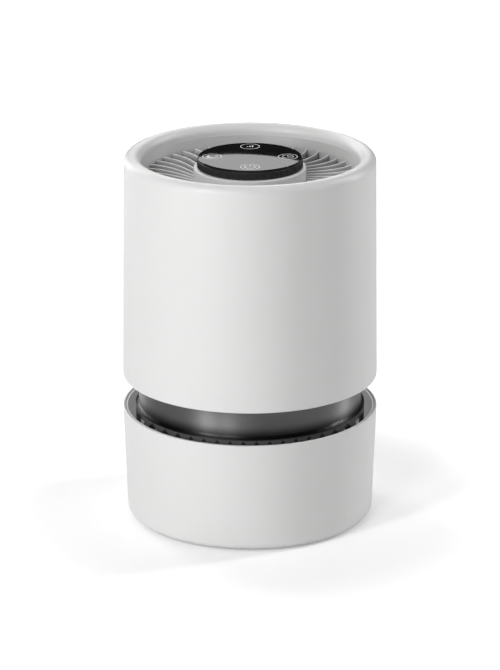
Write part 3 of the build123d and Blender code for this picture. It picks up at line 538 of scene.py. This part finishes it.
# %% The slot for the power socket
SOCKET_ROOM = 0.2 * MM
CUT_PAST = 4 * MM
inlet_low, inlet_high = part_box("power_inlet")
slot_r = (inlet_high.z - inlet_low.z) / 2 + SOCKET_ROOM
slot_half = inlet_high.x + SOCKET_ROOM - slot_r
slot_z = (inlet_high.z + inlet_low.z) / 2
ends = [arc(side * slot_half, slot_z, slot_r, side * 90 - 180, side * 90, 13) for side in (-1, 1)]
slot_outline = np.concatenate(ends)
slot_y = np.array([inlet_low.y, inlet_high.y + CUT_PAST])
slot_x, slot_depth = np.meshgrid(slot_outline[:, 0], slot_y)
cutter_points = np.stack([slot_x, slot_depth, np.tile(slot_outline[:, 1], (2, 1))], axis=-1)
cutter = make_object("slot_cutter", cutter_points, grid_faces(2, len(slot_outline), False, True))
close = bmesh.new()
close.from_mesh(cutter.data)
inner = [e for e in close.edges if e.is_boundary and e.verts[0].co.y < slot_y.mean()]
bmesh.ops.contextual_create(close, geom=inner)
bmesh.ops.contextual_create(close, geom=[e for e in close.edges if e.is_boundary])
bmesh.ops.recalc_face_normals(close, faces=close.faces)
close.to_mesh(cutter.data)
close.free()
opening = shell.modifiers.new("slot", "BOOLEAN")
opening.object, opening.operation, opening.solver = cutter, "DIFFERENCE", "EXACT"
bpy.context.view_layer.objects.active = shell
bpy.ops.object.modifier_apply(modifier=opening.name)
bpy.data.objects.remove(cutter)
print("slot cut,", len(shell.data.vertices), "points in the shell")

# %% [markdown]
# ## The outlet grille
#
# The grille is moulded in one: a ring in the bowl, a drum in the middle and 45 thin curved
# louvres that climb from the drum to the ring. The top edge of each louvre is rounded and catches
# the light, and a painted highlight along it adds to this. One blade is a small grid, and the others are
# turned copies.

# %% Louvres
LOUVRES = 45
LOUVRE_THICKNESS = 1.1 * MM
LOUVRE_START = 1.0
MID_SWEEP, END_SWEEP = -9.1, -7.6
HUB_R = 37.1 * MM
WALL_R = BOWL_R - 2.1 * MM
HUB_DROP, WALL_DROP = 17.4 * MM, 13.8 * MM
EDGE_ROUND = 0.45 * MM
LOUVRE_HEIGHT = 10.0 * MM
BITE = 0.4 * MM  # how far a blade's ends run into the drum and the ring
louvre_low = TOP - HUB_DROP - LOUVRE_HEIGHT


def crest_height(r):
    """The louvre's top edge climbs evenly from the drum to the ring."""
    return TOP - HUB_DROP + (HUB_DROP - WALL_DROP) * np.clip((r - HUB_R) / (WALL_R - HUB_R), 0, 1)


def blade_points():
    """Grid of stations along the blade by points round its section. The centre line's angle is a
    parabola of the radius, and the section is a thin upright bar with a half-round top."""
    along = np.linspace(HUB_R - BITE, WALL_R + BITE, 18)
    r = np.concatenate([along[:1], along, along[-1:]])
    share = (r - HUB_R) / (WALL_R - HUB_R)
    sweep = np.radians(share * (4 * MID_SWEEP - END_SWEEP) + share**2 * (2 * END_SWEEP - 4 * MID_SWEEP))
    crest = crest_height(r)
    over = np.radians(np.linspace(0, 180, 7))
    side = np.concatenate([[1, 1], np.cos(over), [-1, -1]])
    drop = np.concatenate([[1, 0.5], np.zeros(7), [0.5, 1]])
    bulge = np.concatenate([[0, 0], np.sin(over), [0, 0]])
    live = np.ones(len(r))
    live[[0, -1]] = 0
    straight = crest - EDGE_ROUND - louvre_low
    z = crest[:, None] - EDGE_ROUND - drop * straight[:, None] + bulge * EDGE_ROUND
    middle = (crest + louvre_low)[:, None] / 2
    z = np.where(live[:, None] > 0, z, middle)
    angle = sweep[:, None] + live[:, None] * side * LOUVRE_THICKNESS / 2 / r[:, None]
    return r[:, None] * np.ones(len(side)), angle, z


def louvre_set():
    """All blades: the same grid turned by equal steps, as one array of points and of faces."""
    r, angle, z = blade_points()
    turn = np.radians(LOUVRE_START + 360 / LOUVRES * np.arange(LOUVRES))[:, None, None]
    points = np.stack([r * np.cos(angle + turn), r * np.sin(angle + turn), z + 0 * turn], axis=-1)
    cells = grid_faces(*r.shape, False, True)
    faces = cells[None] + (np.arange(LOUVRES) * r.size)[:, None, None]
    return make_object("louvres", points, faces.reshape(-1, 4))


def store(piece, name, values):
    """Keeps one number for each point of the mesh, for the material to read."""
    kept = piece.data.attributes.new(name, "FLOAT", "POINT")
    kept.data.foreach_set("value", np.ascontiguousarray(values, dtype=np.float32))


# %% Louvres with their painted shade and painted highlights
louvres = louvre_set()
count = len(louvres.data.vertices)
place = np.empty(count * 3)
louvres.data.vertices.foreach_get("co", place)
place = place.reshape(-1, 3)
below = crest_height(np.hypot(place[:, 0], place[:, 1])) - place[:, 2]
HIGHLIGHT_EDGE, SHADE_START, SHADE_STEP = 0.5 * MM, 0.3 * MM, 1.6 * MM
# Painted shade on the louvres' sides, stored as the depth under the top edge
store(louvres, "depth", np.clip((below - SHADE_START) / SHADE_STEP, 0, 1))
# Painted highlight: a narrow bright band along each louvre's top edge
store(louvres, "crest", np.clip(1 - below / HIGHLIGHT_EDGE, 0, 1))
print("louvre depth", round(float(below.max()), 4), "m")

# %% Grille ring and drum
RING_TOP = grille_box[1].z
GRILLE_DEPTH, GRILLE_WALL = 24.0 * MM, 1.9 * MM
SEAT = TOP - GRILLE_DEPTH
SPIGOT, SPIGOT_R = 2.5 * MM, BOWL_R + 0.3 * MM
LEDGE_R, OUTER_R = BOWL_R + 2.5 * MM, BOWL_R - 0.2 * MM
LIP = 0.1 * MM
FLARE, FLARE_RISE = 0.6 * MM, 2.5 * MM
HUB_TOP = bezel_box[0].z
DRUM_WALL, DRUM_TOP, DRUM_DECK = 1.8 * MM, 2.0 * MM, 14.0 * MM
SHOULDER = 0.8 * MM
drum_in, deck_in = HUB_R - DRUM_WALL, HUB_R - DRUM_DECK
ring = lathe(
    "grille_ring",
    [
        spread((WALL_R, SEAT - SPIGOT), (SPIGOT_R, SEAT - SPIGOT), 3),
        spread((SPIGOT_R, SEAT), (LEDGE_R, SEAT), 2),
        spread((LEDGE_R, SEAT + GRILLE_WALL), (OUTER_R, SEAT + GRILLE_WALL), 2),
        spread((OUTER_R, RING_TOP - LIP), (OUTER_R - 1.5 * LIP, RING_TOP), 2),
        spread((WALL_R + FLARE, TOP - WALL_DROP + FLARE_RISE), (WALL_R, TOP - WALL_DROP), 4),
    ],
    steps=300,
)
drum = lathe(
    "hub_drum",
    [
        spread((drum_in, louvre_low), (HUB_R, louvre_low), 2),
        spread((HUB_R, louvre_low + MM), (HUB_R, HUB_TOP - 2 * SHOULDER), 5),
        arc(HUB_R - SHOULDER, HUB_TOP - SHOULDER, SHOULDER, 0, 90, 9),
        spread((HUB_R - 2 * MM, HUB_TOP), (deck_in, HUB_TOP), 4),
        spread((deck_in, HUB_TOP - DRUM_TOP), (drum_in, HUB_TOP - DRUM_TOP), 4),
    ],
    steps=240,
)
DRUM_TONE = 0.7
store(drum, "crest", np.full(len(drum.data.vertices), DRUM_TONE))

# %% [markdown]
# ## The ribbed ring of the control panel
#
# The black ring has a side of fine upright ribs, like a coin's edge. The outline is turned as
# before, and a ripple in the radius makes the ribs.

# %% Ribbed ring
RIBS = 120
RIB_DEPTH = 0.35 * MM
RIB_INSET = 0.02 * MM
RIB_FLATNESS = 2.2
RIB_ENDS = 0.2 * MM
RING_BAND, RING_LEVEL, RING_EDGE = 5 * MM, 2 * MM, 0.3 * MM
PANEL_R = bezel_box[1].x
PANEL_LOW, PANEL_TOP = bezel_box[0].z, bezel_box[1].z
side_r = PANEL_R - RIB_DEPTH


def ribs(angle, outline):
    """Outward on the side wall only, by the rib depth times a flattened cosine of the angle."""
    wave = 0.5 + 0.5 * np.tanh(RIB_FLATNESS * np.cos(RIBS * angle)) / math.tanh(RIB_FLATNESS)
    r, z = outline[..., 0], outline[..., 1]
    on_side = (r > side_r - RING_EDGE / 3) & (z > PANEL_LOW + RIB_ENDS) & (z < PANEL_TOP - RIB_ENDS)
    return np.where(on_side, RIB_DEPTH * wave - RIB_INSET, 0.0)


ribbed_ring = lathe(
    "ribbed_ring",
    [
        spread((PANEL_R - RING_BAND, PANEL_LOW), (side_r - RING_EDGE, PANEL_LOW), 3),
        spread((side_r, PANEL_LOW + 0.15 * MM), (side_r, PANEL_LOW + 0.45 * MM), 2),
        spread((side_r, PANEL_LOW + 0.6 * MM), (side_r, PANEL_TOP - 0.6 * MM), 4),
        spread((side_r, PANEL_TOP - 0.45 * MM), (side_r, PANEL_TOP - 0.15 * MM), 2),
        spread((side_r - RING_EDGE, PANEL_TOP), (PANEL_R - RING_LEVEL, PANEL_TOP), 3),
        spread((PANEL_R - RING_LEVEL, PANEL_LOW + 2 * MM), (PANEL_R - RING_BAND, PANEL_LOW + 2 * MM), 3),
    ],
    steps=RIBS * 8,
    ripple=ribs,
)

# %% [markdown]
# ## The filter's sleeve
#
# A washable knitted sleeve is pulled over the pleated filter, so the pleats show through it as
# soft upright waves. It only shows when the upper unit is lifted off.

# %% Filter sleeve
PLEATS = 48
SLEEVE_R = sleeve_box[1].x
SLEEVE_LOW, SLEEVE_TOP = sleeve_box[0].z, sleeve_box[1].z
SLEEVE_WALL = 0.8 * MM
PLEAT_DEPTH = 0.35 * MM
sleeve_in = SLEEVE_R - SLEEVE_WALL


def pleat_waves(angle, outline):
    """Inwards between the pleats, less near the two ends, where the caps hold the sleeve round."""
    height = (outline[..., 1] - SLEEVE_LOW) / (SLEEVE_TOP - SLEEVE_LOW)
    free = np.clip(np.sin(np.pi * np.clip(height, 0, 1)) * 4, 0, 1)
    return -PLEAT_DEPTH * free * (0.5 - 0.5 * np.cos(PLEATS * angle))


sleeve = lathe(
    "knit_sleeve",
    [
        spread((sleeve_in, SLEEVE_LOW), (SLEEVE_R, SLEEVE_LOW), 2),
        spread((SLEEVE_R, SLEEVE_LOW + MM), (SLEEVE_R, SLEEVE_TOP - MM), 24),
        spread((SLEEVE_R, SLEEVE_TOP), (sleeve_in, SLEEVE_TOP), 2),
        spread((sleeve_in, SLEEVE_TOP - MM), (sleeve_in, SLEEVE_LOW + MM), 24),
    ],
    steps=PLEATS * 8,
    ripple=pleat_waves,
)

# %% [markdown]
# ## Studio
#
# A studio stands a white object like this one on a white sweep. A large soft key light from the
# front left shapes the cylinder, one on the right draws its shaded edge, and lights behind and
# above open the bowl. The sweep here is a pale floor that fades to white away from the object,
# where only the camera sees the fade.

# %% Floor
FLOOR_HALF = 8
floor_corners = [(x * FLOOR_HALF, y * FLOOR_HALF, 0) for x, y in ((-1, -1), (1, -1), (1, 1), (-1, 1))]
floor_mesh = bpy.data.meshes.new("floor")
floor_mesh.from_pydata(floor_corners, [], [(0, 1, 2, 3)])
floor = bpy.data.objects.new("floor", floor_mesh)
bpy.context.scene.collection.objects.link(floor)
FLOOR_WHITE = 0.95
FADE_START, FADE_END = 0.13, 0.30
NEAR_GLOW = 0.23
floor_paint = bpy.data.materials.new("floor_paint")
floor_paint.use_nodes = True
sweep = floor_paint.node_tree
floor_shader = sweep.nodes["Principled BSDF"]
floor_shader.inputs["Base Color"].default_value = (FLOOR_WHITE, FLOOR_WHITE, FLOOR_WHITE, 1)
floor_shader.inputs["Roughness"].default_value = 1.0
floor_shader.inputs["Specular IOR Level"].default_value = 0.0
floor_shader.inputs["Emission Color"].default_value = (1, 1, 1, 1)
distance = add(sweep, "ShaderNodeVectorMath", operation="LENGTH")
sweep.links.new(add(sweep, "ShaderNodeTexCoord").outputs["Object"], distance.inputs[0])
fade = add(sweep, "ShaderNodeMapRange", interpolation_type="SMOOTHSTEP")
fade.inputs["From Min"].default_value = FADE_START
fade.inputs["From Max"].default_value = FADE_END
fade.inputs["To Min"].default_value = NEAR_GLOW
sweep.links.new(distance.outputs["Value"], fade.inputs["Value"])
camera_sees = add(sweep, "ShaderNodeLightPath").outputs["Is Camera Ray"]
glow = calc(sweep, "MULTIPLY", fade.outputs["Result"], camera_sees)
sweep.links.new(glow, floor_shader.inputs["Emission Strength"])
floor.data.materials.append(floor_paint)

# %% World: white behind, dim as a light
AMBIENT = 0.011
world = bpy.data.worlds.new("studio")
bpy.context.scene.world = world
world.use_nodes = True
sky = world.node_tree
seen = add(sky, "ShaderNodeLightPath").outputs["Is Camera Ray"]
strength = calc(sky, "MULTIPLY_ADD", seen, 1.0 - AMBIENT, AMBIENT)
sky.nodes["Background"].inputs["Color"].default_value = (1, 1, 1, 1)
sky.links.new(strength, sky.nodes["Background"].inputs["Strength"])

# %% Soft lights, each by its direction from the object
LIGHTS = {  # azimuth, rise, distance, width, height, power
    "key": (-44, 24, 1.5, 0.25, 1.2, 10.0),
    "front_left": (-22, 24, 1.6, 0.3, 1.2, 6.2),
    "back_left": (-142, 20, 1.4, 0.5, 1.2, 7.3),
    "right_edge": (108, 22, 1.4, 0.2, 1.2, 9.4),
    "top": (0, 89, 1.6, 1.0, 1.0, 4.9),
    "back": (180, 35, 1.4, 1.0, 0.5, 2.7),
}


def soft_light(name, azimuth, rise, distance, width, height, power):
    """A rectangular light on a sphere round the object, turned to face it. Azimuth 0 is in front."""
    turn, tilt = math.radians(azimuth), math.radians(rise)
    lamp = bpy.data.lights.new(name, "AREA")
    lamp.shape, lamp.size, lamp.size_y, lamp.energy = "RECTANGLE", width, height, power
    light = bpy.data.objects.new(name, lamp)
    light.location = (
        distance * math.cos(tilt) * math.sin(turn),
        -distance * math.cos(tilt) * math.cos(turn),
        AIM_HEIGHT + distance * math.sin(tilt),
    )
    light.rotation_euler = (math.pi / 2 - tilt, 0, turn)
    light.visible_camera = False
    bpy.context.scene.collection.objects.link(light)


for light_name, settings in LIGHTS.items():
    soft_light(light_name, *settings)
print("lights", ", ".join(LIGHTS))

# %% [markdown]
# The glass is a mirror to what stands behind the object. A round white card up there gives it a
# bright front part with a curved edge, and the rest of the glass stays black.

# %% Round card for the glass
CARD_R = 0.204
CARD_X, CARD_Y, CARD_LOW = -0.009, 0.4, TOP + 0.1073
CARD_POWER = 0.7
card_lamp = bpy.data.lights.new("card", "AREA")
card_lamp.shape, card_lamp.size, card_lamp.size_y = "ELLIPSE", 2 * CARD_R, 2 * CARD_R
card_lamp.energy = CARD_POWER
card = bpy.data.objects.new("card", card_lamp)
card.location = (CARD_X, CARD_Y, CARD_LOW + CARD_R)
card.rotation_euler = (math.pi / 2, 0, math.pi)
card.visible_camera = False
card.visible_diffuse = False
bpy.context.scene.collection.objects.link(card)

# %% [markdown]
# ## Joining the pieces to the moving bodies
#
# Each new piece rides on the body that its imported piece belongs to, stands for that piece, and
# takes its finish from the same slot.

# %% Ride, replace and dress
JOINED = [
    (shell, "housing", "upper_shell", "shell_white"),
    (louvres, "housing", "outlet_grille", "louvre_grey"),
    (ring, "housing", "outlet_grille", "louvre_grey"),
    (drum, "housing", "outlet_grille", "louvre_grey"),
    (ribbed_ring, "housing", "control_bezel", "panel_black"),
    (sleeve, "filter", "filter_sleeve", "sleeve_white"),
]
for piece, body, packed, slot_name in JOINED:
    dress(piece, slot_name)
    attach(piece, body)
    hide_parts(packed)
print("new pieces", len(JOINED))
